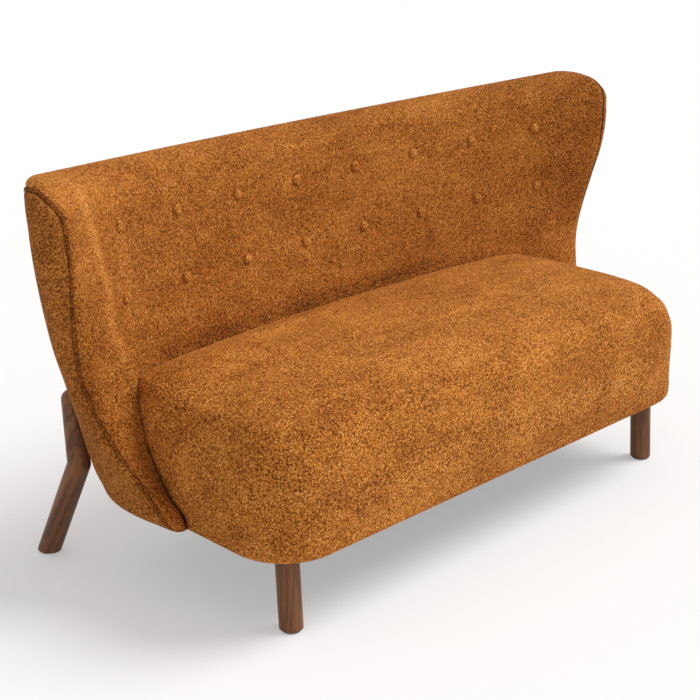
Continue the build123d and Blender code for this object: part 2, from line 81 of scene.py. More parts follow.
# one material, or the world, and the one way to add nodes to it
class Finish:
    def __init__(self, name, world=None):
        self.owner = world or bpy.data.materials.new(name)
        self.owner.use_nodes = True
        self.tree = self.owner.node_tree
        self.tree.nodes.clear()
        self.where = self.add("ShaderNodeTexCoord", {}, {}, "Object")

    def link(self, socket, value):
        if isinstance(value, Tone):
            self.tree.links.new(value.socket, socket)
        else:
            socket.default_value = value

    def add(self, kind, settings, links, output=0):
        # gives the new node's output, or for an output node, which has none, the material itself
        node = self.tree.nodes.new(kind)
        for name, value in settings.items():
            setattr(node, name, value)
        for name, value in links.items():
            self.link(node.inputs[name], value)
        return Tone(self, node.outputs[output]) if node.outputs else self.owner

    def noise(self, scale, detail, rough, warp=0.0, place=None):
        links = {"Vector": place or self.where, "Scale": scale, "Detail": detail, "Roughness": rough,
                 "Distortion": warp}
        return self.add("ShaderNodeTexNoise", {}, links, "Fac")

    def mix(self, share, a, b):
        return self.add("ShaderNodeMix", {"data_type": "RGBA"}, {0: share, 6: a, 7: b}, 2)

    def stretch(self, scale):
        return self.add("ShaderNodeMapping", {}, {"Vector": self.where, "Scale": scale})

    def bump(self, height, strength, distance, normal=None):
        links = {"Height": height, "Strength": strength, "Distance": distance}
        if normal:
            links["Normal"] = normal
        return self.add("ShaderNodeBump", {}, links)

    def close(self, **links):
        names = {"colour": "Base Color", "rough": "Roughness", "normal": "Normal", "sheen": "Sheen Weight",
                 "sheenRough": "Sheen Roughness", "sheenTint": "Sheen Tint", "metal": "Metallic",
                 "coat": "Coat Weight", "coatRough": "Coat Roughness", "specular": "Specular IOR Level"}
        shader = self.add("ShaderNodeBsdfPrincipled", {}, {names[k]: v for k, v in links.items()})
        return self.add("ShaderNodeOutputMaterial", {}, {"Surface": shader})


def tint(red, green, blue):
    # colour given as it shows on screen, 0 to 255, turned to the linear values that shaders use
    level = np.array([red, green, blue]) / 255.0
    linear = np.where(level <= 0.04045, level / 12.92, ((level + 0.055) / 1.055) ** 2.4)
    return (float(linear[0]), float(linear[1]), float(linear[2]), 1.0)


clothLook = {
    "deep": (94, 45, 10), "body": (182, 106, 36), "pale": (240, 168, 86),
    "tuft": 360.0, "loop": 280.0, "fleck": 200.0, "patch": 10.0, "streak": (5.0, 16.0, 16.0),
    "level": 0.54, "contrast": 1.0, "ownShare": 0.68, "gapMiddle": 0.40, "gapShare": 0.85, "loopShare": 1.7,
    "fleckRange": (0.58, 0.70), "fleckShare": 0.12, "patchShare": 0.45, "streakShare": 0.45, "lightAndShadeShare": 0.22,
    "bodyRange": (-0.10, 0.62), "paleRange": (0.45, 1.25),
    "bumpTuft": (0.6, 0.0022), "bumpLoop": (0.7, 0.0030),
    "rough": 0.92, "sheen": 0.12, "sheenRough": 0.4, "sheenTint": (255, 170, 90), "specular": 0.15,
}


def clothFinish(name, look):
    # looped pile: every loop has its own tone and a dark gap round it; flecks, patches and streaks lie over
    # that, and the points' lightAndShade value paints highlight and shade onto it in places
    f = Finish(name)
    pile = {"Vector": f.where, "Scale": look["tuft"], "Randomness": 1.0}
    gap = f.add("ShaderNodeTexVoronoi", {"feature": "F1"}, pile, "Distance")
    own = f.add("ShaderNodeTexVoronoi", {"feature": "F1"}, pile, "Color")
    loop = f.noise(look["loop"], 3.0, 0.65, 0.6)
    fleck = f.noise(look["fleck"], 2.0, 0.5, 1.4).clip(*look["fleckRange"])
    patch = f.noise(look["patch"], 4.0, 0.6, 0.4)
    streak = f.noise(1.0, 3.0, 0.6, 0.6, f.stretch(look["streak"]))
    lightAndShade = f.add("ShaderNodeAttribute", {"attribute_name": "lightAndShade"}, {}, "Fac")
    grain = (own - 0.5) * look["ownShare"] + (look["gapMiddle"] - gap) * look["gapShare"]
    grain = grain + (loop - 0.5) * look["loopShare"] - fleck * look["fleckShare"]
    tone = look["level"] + grain * look["contrast"]
    tone = tone + (patch - 0.5) * look["patchShare"] + (streak - 0.5) * look["streakShare"]
    tone = tone + lightAndShade * look["lightAndShadeShare"]
    base = f.mix(tone.clip(*look["bodyRange"]), tint(*look["deep"]), tint(*look["body"]))
    colour = f.mix(tone.clip(*look["paleRange"]), base, tint(*look["pale"]))
    normal = f.bump(loop, *look["bumpLoop"])
    normal = f.bump(1 - gap, *look["bumpTuft"], normal)
    return f.close(colour=colour, rough=look["rough"], normal=normal, specular=look["specular"],
                   sheen=look["sheen"], sheenRough=look["sheenRough"], sheenTint=tint(*look["sheenTint"]))


woodLook = {"dark": (80, 49, 27), "light": (138, 88, 50), "grain": 70.0, "along": 16.0, "lean": 0.0,
            "fineScale": 7.0, "bandShare": 0.7, "range": (0.33, 0.68)}


def woodFinish(name, look, rough):
    # the grain runs along Z, or along a line that leans from it about X
    f = Finish(name)
    frameOfGrain = {"Vector": f.where, "Rotation": (math.radians(look["lean"]), 0.0, 0.0),
                    "Scale": (1.0, 1.0, look["along"])}
    run = f.add("ShaderNodeMapping", {"vector_type": "TEXTURE"}, frameOfGrain)
    band = f.noise(look["grain"], 3.0, 0.6, 1.2, run)
    fine = f.noise(look["grain"] * look["fineScale"], 2.0, 0.6, 0.3, run)
    stripe = look["bandShare"] * band + (1 - look["bandShare"]) * fine
    colour = f.mix(stripe.clip(*look["range"]), tint(*look["dark"]), tint(*look["light"]))
    normal = f.bump(fine, 0.25, 0.0006)
    return f.close(colour=colour, rough=rough + 0.15 * fine, normal=normal, coat=0.05, coatRough=0.4,
                   specular=0.3)


def plainFinish(name, dark, light, scale, rough, metal=0.0, bump=0.0006):
    f = Finish(name)
    grain = f.noise(scale, 3.0, 0.6)
    colour = f.mix(grain.clip(0.35, 0.65), tint(*dark), tint(*light))
    normal = f.bump(grain, 0.4, bump)
    return f.close(colour=colour, rough=rough + 0.2 * grain, normal=normal, metal=metal)


def weaveFinish(name, dark, light, pitch, rough):
    # over-and-under threads: a wave along X times a wave along Y
    f = Finish(name)
    x = f.add("ShaderNodeSeparateXYZ", {}, {0: f.where}, "X")
    y = f.add("ShaderNodeSeparateXYZ", {}, {0: f.where}, "Y")
    turn = 2 * math.pi / pitch
    wave = f.add("ShaderNodeMath", {"operation": "SINE"}, {0: x * turn})
    weft = f.add("ShaderNodeMath", {"operation": "SINE"}, {0: y * turn})
    height = wave * weft * 0.5 + 0.5
    colour = f.mix(height.clip(0.2, 0.8), tint(*dark), tint(*light))
    normal = f.bump(height, 0.5, 0.0006)
    return f.close(colour=colour, rough=rough, normal=normal, sheen=0.1)


# copies of the pile: deeper for the outer panel; brighter, with stronger patches and streaks, for the seat
outerLook = dict(clothLook, deep=(88, 44, 10), body=(168, 98, 34), pale=(226, 158, 80))
seatLook = dict(clothLook, deep=(106, 52, 13), body=(198, 118, 42), pale=(250, 182, 96),
                patchShare=0.5, streakShare=0.6, contrast=1.14)
rustCloth = clothFinish("rust_pile", clothLook)
outerCloth = clothFinish("rust_pile_outer", outerLook)
seatCloth = clothFinish("rust_pile_seat", seatLook)
walnut = woodFinish("dark_walnut", woodLook, 0.45)
walnutRear = woodFinish("dark_walnut_rear", dict(woodLook, lean=32.0), 0.45)
sawnPine = woodFinish("sawn_pine", dict(woodLook, dark=(168, 132, 88), light=(214, 182, 136)), 0.6)
bandCloth = weaveFinish("elastic_band", (18, 18, 18), (52, 50, 48), 0.003, 0.85)
feltCloth = plainFinish("grey_felt", (92, 92, 88), (140, 138, 132), 300.0, 0.9)
dustCloth = weaveFinish("dust_cloth", (12, 12, 12), (34, 33, 32), 0.0022, 0.95)
tieCord = plainFinish("tie_cord", (170, 158, 138), (214, 204, 186), 500.0, 0.85)
zincSteel = plainFinish("zinc_steel", (150, 150, 150), (196, 196, 194), 120.0, 0.3, 1.0)
glidePlastic = plainFinish("glide_plastic", (30, 28, 26), (52, 48, 44), 200.0, 0.5)
seamThread = plainFinish("seam_thread", (86, 44, 13), (128, 72, 26), 900.0, 0.85)
print("finishes made")


# shell of the back, in millimetres, the same set of rows as the solids
shell = {
    "halfWidth": 777.0, "rear": 318.0, "base": 142.0, "rollStart": 683.0, "rollHeight": 63.0,
    "lean": 0.2142, "pitch": (2.0, 12.75), "inset": 249.0, "thick": (152.0, 110.0), "arcRun": 0.515,
    "drawIn": 12.0, "drawBack": 12.0, "bottomRound": 14.0,
    "share": (0.0, 0.029, 0.106, 0.206, 0.325, 0.498, 0.610, 0.712, 0.830, 0.936, 1.0),
    "tipInset": (177.5, 169.0, 153.0, 137.0, 121.0, 100.0, 82.5, 67.0, 50.0, 41.5, 39.0),
    "reach": (118.0, 115.0, 89.0, 56.5, 36.0, 31.0, 44.5, 64.5, 89.0, 103.5, 109.5),
    "tipRadius": (12.0, 20.0, 25.0, 30.0, 33.0, 36.5, 38.0, 39.5, 40.5, 40.5, 39.5),
    "bow": (14.0, 14.0, 15.0, 16.0, 17.0, 20.0, 22.8, 25.5, 28.3, 29.6, 30.0),
    "outRun": (0.503, 0.577, 0.635, 0.662, 0.672, 0.668, 0.638, 0.597, 0.557, 0.533, 0.525),
    "earRound": 16.0,
}
# where the seam lies on the rounded wing edge: level 0 to 1 up the wing, 1 to 2 over the roll, and the turn
# back from the flank in degrees
seam = {
    "level": (0.0, 0.04, 0.145, 0.25, 0.375, 0.487, 0.618, 0.755, 0.885, 1.0, 1.22, 1.39, 1.55, 1.61, 1.64),
    "turn": (4.0, 9.0, 43.0, 54.0, 64.0, 73.0, 97.0, 120.0, 136.0, 136.0, 125.0, 112.0, 92.0, 58.0, 0.0),
    "steps": 170, "start": 0.004, "ease": 1.5, "tilt": 0.7, "across": (60, 110), "batches": 12,
}
seamTop = seam["level"][-1]
seamRoll = (seamTop - 1) * np.pi / 2


def smoothAt(keys, values, at):
    # smooth curve through the listed values: cubic pieces whose slopes come from the neighbours
    keys = np.asarray(keys)
    values = np.asarray(values)
    slope = np.gradient(values, keys)
    k = np.clip(np.searchsorted(keys, at, side="right") - 1, 0, len(keys) - 2)
    step = keys[k + 1] - keys[k]
    t = (at - keys[k]) / step
    a = (1 + 2 * t) * (1 - t) ** 2 * values[k] + t * t * (3 - 2 * t) * values[k + 1]
    return a + step * t * (1 - t) * ((1 - t) * slope[k] - t * slope[k + 1])


def shellArcs(share, roll):
    # arcs of each level section, for a height share and an angle over the roll: centre, radius and end angles
    # of inside face, side, wing tip, flank and rear face, each one tangent to the next
    s = shell
    row = {k: smoothAt(s["share"], s[k], share) for k in ("tipInset", "reach", "tipRadius", "bow", "outRun")}
    height = s["rollStart"] - s["base"]
    shrink = np.cos(roll)
    rise = s["rollHeight"] * np.sin(roll)
    thick = s["thick"][0] + share * (s["thick"][1] - s["thick"][0])
    lift = np.clip(1 - share * height / s["bottomRound"], 0, 1)
    tuck = s["bottomRound"] * (1 - np.sqrt(1 - lift ** 2))
    back = s["rear"] - s["inset"] + s["lean"] * (share * height + rise) + thick * (1 - shrink) / 2 + tuck
    thick = thick * shrink - 2 * tuck
    pitch = np.radians(s["pitch"][0] + share * (s["pitch"][1] - s["pitch"][0]))
    radius = row["tipRadius"] * shrink
    ear = s["earRound"] * (1 - shrink) ** 4
    tip = np.stack([s["halfWidth"] - row["tipInset"] - s["drawIn"] * (1 - shrink) - ear,
                    -row["reach"] - tuck + s["drawBack"] * (1 - shrink)], -1)
    run = s["arcRun"] * s["halfWidth"]
    bow = row["bow"]
    zero = np.zeros_like(bow)
    inRad = (run ** 2 + bow ** 2) / (2 * bow)
    inMid = np.stack([zero, -inRad], -1)
    inEnd = np.stack([zero + run, -bow], -1)
    n = (inEnd - inMid) / inRad[:, None]
    d = inEnd - tip
    sideRad = ((d * d).sum(-1) - radius ** 2) / (2 * (radius + (d * n).sum(-1)))
    sideMid = inEnd - n * sideRad[:, None]
    outX = row["outRun"] * s["halfWidth"]
    outRad = (outX ** 2 + bow ** 2) / (2 * bow)
    outMid = np.stack([zero, thick - outRad], -1)
    outEnd = np.stack([outX, thick - bow], -1)
    m = (outEnd - outMid) / outRad[:, None]
    d = outEnd - tip
    flankRad = ((d * d).sum(-1) - radius ** 2) / (2 * ((d * m).sum(-1) - radius))
    flankMid = outEnd - m * flankRad[:, None]

    def angle(v):
        return np.arctan2(v[:, 1], v[:, 0])

    sideWay = angle(tip - sideMid)
    flankWay = angle(tip - flankMid)
    tipFrom = angle(sideMid - tip)
    tipTo = np.where(flankWay < tipFrom, flankWay + 2 * np.pi, flankWay)
    level = np.minimum(share + roll / (np.pi / 2), seamTop)
    seamWay = tipTo - np.radians(np.clip(smoothAt(seam["level"], seam["turn"], level), 0, None))
    half = np.full_like(bow, np.pi / 2)
    arcs = {
        "front": (inMid, inRad, half, angle(n)), "side": (sideMid, sideRad, angle(n), sideWay),
        "tip": (tip, radius, tipFrom, seamWay), "edge": (tip, radius, seamWay, tipTo),
        "flank": (flankMid, flankRad, flankWay, angle(m)), "rear": (outMid, outRad, angle(m), half),
    }
    place = {"back": back, "pitch": pitch, "z": s["base"] + share * height + rise}
    return arcs, place


def halfSection(arcs, place, names, counts):
    # runs along the named arcs, so many steps on each, and sets the points up in space
    parts = []
    for name, count in zip(names, counts):
        centre, radius, start, end = arcs[name]
        t = np.linspace(0, 1, count + 1)[None, :]
        t = t if name == names[-1] else t[:, :-1]
        a = start[:, None] + t * (end - start)[:, None]
        x = centre[:, :1] + radius[:, None] * np.cos(a)
        y = centre[:, 1:] + radius[:, None] * np.sin(a)
        parts.append(np.stack([x, y], -1))
    flat = np.concatenate(parts, 1)
    c = np.cos(place["pitch"])[:, None]
    q = np.sin(place["pitch"])[:, None]
    return np.stack([flat[..., 0], place["back"][:, None] + flat[..., 1] * c,
                     place["z"][:, None] - flat[..., 1] * q], -1)


def fullSection(half):
    # the right half and its mirror image, joined at the middle column
    left = half[:, :0:-1] * np.array([-1.0, 1.0, 1.0])
    return np.concatenate([left, half], 1)


def gridFaces(rows, columns, offset=0):
    k = offset + np.arange(rows * columns).reshape(rows, columns)
    return np.stack([k[:-1, :-1], k[:-1, 1:], k[1:, 1:], k[1:, :-1]], -1).reshape(-1, 4)


def gridNormals(grid):
    # the way each point of a grid faces: across its row, then up its column
    n = np.cross(np.gradient(grid, axis=1), np.gradient(grid, axis=0))
    return n / np.maximum(np.linalg.norm(n, axis=-1, keepdims=True), 1e-9)


def meshPiece(name, points, faces, material, merge=0.0, lightAndShade=None):
    # points in millimetres and rows of four corners become one smooth mesh object in metres
    mesh = bpy.data.meshes.new(name)
    points = np.asarray(points, dtype=np.float64).reshape(-1, 3) / 1000.0
    faces = np.asarray(faces, dtype=np.int32)
    mesh.vertices.add(len(points))
    mesh.vertices.foreach_set("co", points.ravel())
    mesh.loops.add(faces.size)
    mesh.loops.foreach_set("vertex_index", faces.ravel())
    mesh.polygons.add(len(faces))
    mesh.polygons.foreach_set("loop_start", np.arange(len(faces), dtype=np.int32) * faces.shape[1])
    mesh.update(calc_edges=True)
    mesh.validate()
    if lightAndShade is not None:
        mesh.attributes.new("lightAndShade", "FLOAT", "POINT").data.foreach_set("value", lightAndShade)
    if merge:
        form = bmesh.new()
        form.from_mesh(mesh)
        bmesh.ops.remove_doubles(form, verts=form.verts, dist=merge / 1000.0)
        bmesh.ops.dissolve_degenerate(form, dist=merge / 2000.0, edges=form.edges)
        bmesh.ops.recalc_face_normals(form, faces=form.faces)
        form.to_mesh(mesh)
        form.free()
    mesh.polygons.foreach_set("use_smooth", np.ones(len(mesh.polygons), dtype=bool))
    mesh.materials.append(material)
    piece = bpy.data.objects.new(name, mesh)
    scene.collection.objects.link(piece)
    return piece


def pointsOf(piece):
    flat = np.empty(len(piece.data.vertices) * 3)
    piece.data.vertices.foreach_get("co", flat)
    return flat.reshape(-1, 3) * 1000.0


def normalsOf(piece):
    flat = np.empty(len(piece.data.vertices) * 3)
    piece.data.vertex_normals.foreach_get("vector", flat)
    return flat.reshape(-1, 3)


def movePoints(piece, points):
    piece.data.vertices.foreach_set("co", (points / 1000.0).ravel())
    piece.data.update()


def evenOut(piece, values, times):
    # each point takes the mean of its own value and its neighbours' mean, so many times over
    ends = np.empty(len(piece.data.edges) * 2, dtype=np.int32)
    piece.data.edges.foreach_get("vertices", ends)
    a, b = ends.reshape(-1, 2).T
    count = len(values)
    near = np.bincount(a, minlength=count) + np.bincount(b, minlength=count)
    for _ in range(times):
        total = np.bincount(a, values[b], count) + np.bincount(b, values[a], count)
        values = (values + total / np.maximum(near, 1)) / 2
    return values


# the pressure run that fills out a cover, the same for each padded piece
blow = {"grades": 10, "quality": 4, "mass": 0.3, "stiff": 40.0, "bending": 1.0, "pressure": 4.0, "slide": 2.0,
        "even": 10}


def inflate(piece, pins, keep, s):
    # the cover is blown up from a slightly smaller shape: kept points stay, the rest swells up to the cap
    normal = normalsOf(piece)
    small = pointsOf(piece) - normal * (1 - keep)[:, None] * s["start"]
    movePoints(piece, small)
    group = piece.vertex_groups.new(name="held")
    grades = blow["grades"]
    for step in range(1, grades + 1):
        group.add(np.flatnonzero(np.round(pins * grades) == step).tolist(), step / grades, "REPLACE")
    cloth = piece.modifiers.new("blow", "CLOTH")
    cloth.settings.vertex_group_mass = "held"
    cloth.settings.quality = blow["quality"]
    cloth.settings.mass = blow["mass"]
    cloth.settings.tension_stiffness = blow["stiff"]
    cloth.settings.compression_stiffness = blow["stiff"]
    cloth.settings.shear_stiffness = blow["stiff"]
    cloth.settings.bending_stiffness = blow["bending"]
    cloth.settings.use_pressure = True
    cloth.settings.uniform_pressure_force = blow["pressure"]
    cloth.settings.effector_weights.gravity = 0.0
    cloth.collision_settings.use_collision = False
    cloth.point_cache.frame_start = 1
    cloth.point_cache.frame_end = s["frames"]
    for number in range(1, s["frames"] + 1):
        scene.frame_set(number)
    done = piece.evaluated_get(bpy.context.evaluated_depsgraph_get()).data
    blown = np.empty(len(small) * 3)
    done.vertices.foreach_get("co", blown)
    move = blown.reshape(-1, 3) * 1000.0 - small
    piece.modifiers.remove(cloth)
    piece.vertex_groups.remove(group)
    scene.frame_set(1)
    swell = (move * normal).sum(1, keepdims=True)
    slide = move - swell * normal
    length = np.linalg.norm(slide, axis=1, keepdims=True)
    slide *= np.minimum(1.0, blow["slide"] / np.maximum(length, 1e-9))
    grown = s["cap"] * np.tanh(swell[:, 0] / s["cap"])
    limit = evenOut(piece, np.clip(grown, s["start"] - s["slack"], None), blow["even"])
    movePoints(piece, small + (limit * (1 - keep))[:, None] * normal + slide)
    print(piece.name, "swells", np.percentile(limit, (2, 50, 98)).round(1))


def finer(piece):
    smooth = piece.modifiers.new("finer", "SUBSURF")
    smooth.levels = 1
    smooth.render_levels = 1


# two rows of eight buttons, each drawn into the pad; pale is a painted highlight on their domes
tufts = {
    "pitch": 0.212, "columns": 8, "rows": (0.712, 0.936), "radius": 10.0, "depth": 6.0, "spread": 20.0,
    "power": 1.4, "near": 50.0, "dome": 5.0, "sink": 3.2, "pale": 0.9, "steps": 13, "sides": 33,
    "roundness": (0.7, 1.1), "rim": ((0.8, -5.0), (0.97, -2.0)),
}


def frontSpots():
    # places of the buttons on the inside face and the way each one faces
    share = np.repeat(tufts["rows"], tufts["columns"])
    step = tufts["pitch"] * shell["halfWidth"]
    x = np.tile((np.arange(tufts["columns"]) - (tufts["columns"] - 1) / 2) * step, len(tufts["rows"]))
    arcs, place = shellArcs(share, np.zeros_like(share))
    inside = np.abs(x) <= shell["arcRun"] * shell["halfWidth"]
    centre = np.where(inside[:, None], arcs["front"][0], arcs["side"][0])
    radius = np.where(inside, arcs["front"][1], arcs["side"][1])
    v = centre[:, 1] + np.sqrt(radius ** 2 - (np.abs(x) - centre[:, 0]) ** 2)
    n = np.stack([np.sign(x) * (centre[:, 0] - np.abs(x)), centre[:, 1] - v], -1) / radius[:, None]
    c = np.cos(place["pitch"])
    q = np.sin(place["pitch"])
    spot = np.stack([x, place["back"] + v * c, place["z"] - v * q], -1)
    facing = np.stack([n[:, 0], n[:, 1] * c, -n[:, 1] * q], -1)
    return spot, facing


spots, facings = frontSpots()


def tuftShift(points):
    # near each button the face dips along the button's own way, deepest at the middle
    shift = np.zeros_like(points)
    for spot, facing in zip(spots, facings):
        d = points - spot
        high = d @ facing
        flat = np.sqrt(np.maximum((d * d).sum(-1) - high ** 2, 0.0))
        dip = tufts["depth"] * np.exp(-(flat / tufts["spread"]) ** tufts["power"])
        dip = dip * (np.abs(high) < tufts["near"])
        shift -= dip[..., None] * facing
    return shift


backCover = {
    "rows": 84, "rollRows": (16, 10), "counts": (58, 42, 20), "rearSteps": 1200, "tuckIn": 0.03,
    "tuckTo": 60.0, "groove": 4.0, "grooveWidth": 5.0, "hold": 14.0, "holdReach": 1.6,
    "start": 3.0, "cap": 6.0, "slack": 1.0, "frames": 16,
}


def levelRows(rows, rollRows, lowShare=0.03, lowRows=5):
    # height shares and roll angles, row by row: close rows at the bottom, even rows up, then over the roll
    low = lowShare * (np.arange(lowRows) / lowRows) ** 2
    over = np.linspace(0, seamRoll, rollRows[0] + 1)[1:]
    if len(rollRows) > 1:
        over = np.concatenate([over, np.linspace(seamRoll, np.pi / 2, rollRows[1] + 1)[1:]])
    share = np.concatenate([low, np.linspace(lowShare, 1, rows), np.ones_like(over)])
    return share, np.concatenate([np.zeros(len(low) + rows), over])


def makeBackCover(s):
    # front grid: from the bottom edge to the ridge; rear grid: from the seam behind the roll to the ridge
    arcs, place = shellArcs(*levelRows(s["rows"], s["rollRows"]))
    front = halfSection(arcs, place, ("front", "side", "tip"), s["counts"])
    inward = np.array([0.0, s["tuckTo"], 0.0]) - front[:1]
    under = front[:1] + inward * np.array([s["tuckIn"], s["tuckIn"], 0.0])
    front = np.concatenate([under, front], 0)
    over = np.linspace(seamRoll, np.pi / 2, s["rollRows"][1] + 1)
    arcs, place = shellArcs(np.ones_like(over), over)
    dense = halfSection(arcs, place, ("flank", "rear"), (s["rearSteps"], s["rearSteps"]))[:, ::-1]
    # the rear grid has the columns that meet those of the front grid on the ridge
    reach = s["counts"][0] + s["counts"][1]
    pick = np.searchsorted(dense[-1, :, 0], front[-1, :reach + 1, 0]).clip(0, dense.shape[1] - 1)
    pick[0] = 0
    pick[-1] = dense.shape[1] - 1
    rear = dense[:, pick]
    ridge = (front[-1, :reach + 1] + rear[-1]) / 2
    front[-1, :reach + 1] = ridge
    front[-1, reach:] = ridge[-1]
    rear[-1] = ridge
    return fullSection(front), fullSection(rear)


def makePanel(s):
    # from the wing seam round the rear to the other seam, level by level up to the seam behind the roll
    arcs, place = shellArcs(*levelRows(s["rows"], s["rollRows"]))
    half = halfSection(arcs, place, ("edge", "flank", "rear"), s["counts"])
    return fullSection(half[:, ::-1])


def seamLine(s):
    # up the left wing, along the rear under the ridge, down the right wing, with the way that the cloth faces
    level = seamTop * (1 - (1 - np.linspace(s["start"], 1, s["steps"])) ** s["ease"])
    roll = np.maximum(level - 1, 0) * np.pi / 2
    arcs, place = shellArcs(np.minimum(level, 1), roll)
    rise = halfSection(arcs, place, ("edge",), (1,))[:, 0]
    way = arcs["edge"][2]
    pitch = place["pitch"]
    tilt = s["tilt"] * roll
    up = np.array([0.0, 0.0, 1.0])
    flat = np.stack([np.cos(way), np.sin(way) * np.cos(pitch), -np.sin(way) * np.sin(pitch)], -1)
    out = flat * np.cos(tilt)[:, None] + up * np.sin(tilt)[:, None]
    arcs, place = shellArcs(np.ones(1), np.full(1, seamRoll))
    across = fullSection(halfSection(arcs, place, ("flank", "rear"), s["across"])[:, ::-1])[0]
    step = np.gradient(across, axis=0)
    away = np.stack([-step[:, 1], step[:, 0], 0 * step[:, 0]], -1)
    away /= np.linalg.norm(away, axis=1, keepdims=True)
    away *= np.where(away[:, 1:2] < 0, -1.0, 1.0)
    away = away * math.cos(s["tilt"] * seamRoll) + up * math.sin(s["tilt"] * seamRoll)
    flip = np.array([-1.0, 1.0, 1.0])
    line = np.concatenate([rise * flip, across[1:-1], rise[::-1]], 0)
    ways = np.concatenate([out * flip, away[1:-1], out[::-1]], 0)
    return line, ways


seamPath, seamOut = seamLine(seam)
footHold = {"above": 8.0, "fade": 50.0}


def footOf(points):
    # 1 along the bottom edge, falling to 0 a little above it
    return np.clip(1 - (points[:, 2] - shell["base"] - footHold["above"]) / footHold["fade"], 0, 1) ** 2


def seamNear(points):
    # distance from each point to the seam, in batches to spare memory
    best = np.full(len(points), 1e9)
    for part in np.array_split(np.arange(len(seamPath)), seam["batches"]):
        d = np.linalg.norm(points[:, None] - seamPath[None, part], axis=2).min(1)
        best = np.minimum(best, d)
    return best


# painted shade beside the seam and on its welt, where the groove lies in shadow
seamPaintedShade = {"cloth": -0.7, "width": 3.0, "welt": -1.5}


def seamShade(points):
    return seamPaintedShade["cloth"] * np.exp(-(seamNear(points) / seamPaintedShade["width"]) ** 2)


def pressSeam(piece, depth, width):
    # the cloth is drawn in beside the seam, by a bell curve of the distance from it
    points = pointsOf(piece)
    dip = depth * np.exp(-(seamNear(points) / width) ** 2)
    movePoints(piece, points - normalsOf(piece) * dip[:, None])


# ridge down the inside of each wing, by level, at a share of the side arc, with a painted highlight along it;
# also painted light on the left wing, painted shade on the right one, on the wing edges and in the seat crease
wingRidge = {
    "level": (0.40, 0.46, 0.55, 0.65, 0.71, 0.85, 0.97, 1.48, 1.8),
    "share": (0.70, 0.72, 0.76, 0.79, 0.77, 0.80, 0.83, 0.83, 0.85),
    "width": 1.7, "rise": 3.0, "pale": 1.2, "in": (0.38, 0.15), "out": (1.75, -0.4), "right": 0.15,
    "second": 0.55, "secondWidth": 1.4, "secondRise": 1.6, "secondHighlight": 0.5, "secondIn": (0.62, 0.15),
    "secondOut": (1.15, -0.15), "wingLight": (0.35, -0.35), "wingLightFrom": 0.5, "wingLightFade": 12.0,
    "wingLightIn": (0.45, 0.3), "edge": (-0.3, -0.05), "edgeShadeOut": (1.5, -0.4),
    "crease": -0.9, "creaseLevel": 412.0, "creaseWidth": 16.0,
    "creaseEnd": (525.0, 410.0), "creaseFade": 30.0,
}


def ramp(values, start, width):
    # 0 up to the start, then even to 1 over the width; a negative width gives the reverse
    return np.clip((values - start) / width, 0, 1)


def makeRidge(s, columns):
    # bell curves across the columns, faded in and out along the wing: heights and painted highlight for the
    # front grid; a second, weaker ridge lies nearer to the middle
    share, roll = levelRows(backCover["rows"], backCover["rollRows"])
    level = np.concatenate([share[:1], share + roll / (np.pi / 2)])[:, None]
    c = np.abs(np.arange(columns) - columns // 2)[None, :]
    first, run = backCover["counts"][:2]
    main = np.exp(-((c - first - run * smoothAt(s["level"], s["share"], level)) / s["width"]) ** 2)
    main = main * ramp(level, *s["in"]) * ramp(level, *s["out"])
    second = np.exp(-((c - first - run * s["second"]) / (s["secondWidth"] * s["width"])) ** 2)
    second = second * ramp(level, *s["secondIn"]) * ramp(level, *s["secondOut"])
    inner = ramp(c, first + s["wingLightFrom"] * run, s["wingLightFade"]) * ramp(level, *s["wingLightIn"])
    # painted light on the inside of the left wing and painted shade on the inside of the right one
    left = (np.arange(columns) < columns // 2)[None, :]
    wingLightTone = np.where(left, s["wingLight"][0], s["wingLight"][1])
    # past the ridge the wing's rounded edge turns away, painted in deepening shade up to the seam
    listed = np.clip(level, s["level"][0], s["level"][-1])
    past = c - first - run * smoothAt(s["level"], s["share"], listed) - 2 * s["width"]
    edge = ramp(past, 0.0, backCover["counts"][2]) * ramp(level, *s["edgeShadeOut"])
    deep = np.where(left, s["edge"][0], s["edge"][1]) * edge
    shown = np.where(left, 1.0, s["right"])
    rise = (s["rise"] * main + s["secondRise"] * second) * shown
    return rise, (s["pale"] * main + s["secondHighlight"] * second) * shown + wingLightTone * inner + deep


front, rear = makeBackCover(backCover)
rows, columns = front.shape[:2]
ridgeRise, ridgeLightShade = makeRidge(wingRidge, columns)
# painted shade where the seat comes up against the back
seatEnd = np.where(front[..., 0] < 0, *wingRidge["creaseEnd"])
creaseShadeMask = ramp(np.abs(front[..., 0]), seatEnd, -wingRidge["creaseFade"])
creaseShadeMask = creaseShadeMask * np.exp(-((front[..., 2] - wingRidge["creaseLevel"]) / wingRidge["creaseWidth"]) ** 2)
ridgeLightShade = ridgeLightShade + wingRidge["crease"] * creaseShadeMask
front = front + tuftShift(front) + gridNormals(front) * ridgeRise[..., None]
points = np.concatenate([front.reshape(-1, 3), rear.reshape(-1, 3)])
faces = np.concatenate([gridFaces(rows, columns), gridFaces(rear.shape[0], rear.shape[1], rows * columns)])
# painted highlight and shade of the wings and the crease, and painted shade beside the seam
pale = np.concatenate([ridgeLightShade.ravel(), np.zeros(rear.shape[0] * rear.shape[1])])
pale = pale + seamShade(points)
cover = meshPiece("back_cover", points, faces, rustCloth, merge=0.4, lightAndShade=pale)
at = pointsOf(cover)
keep = np.maximum(np.exp(-(seamNear(at) / backCover["hold"]) ** 2), footOf(at))
held = keep
for spot in spots:
    away = np.linalg.norm(at - spot, axis=1) / backCover["hold"]
    held = np.maximum(held, np.clip(backCover["holdReach"] - away, 0, 1))
inflate(cover, held, keep, backCover)
pressSeam(cover, backCover["groove"], backCover["grooveWidth"])
finer(cover)
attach(cover, "root")
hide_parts("inside_back_pad", "back_top_roll")
print("back cover", len(cover.data.vertices))

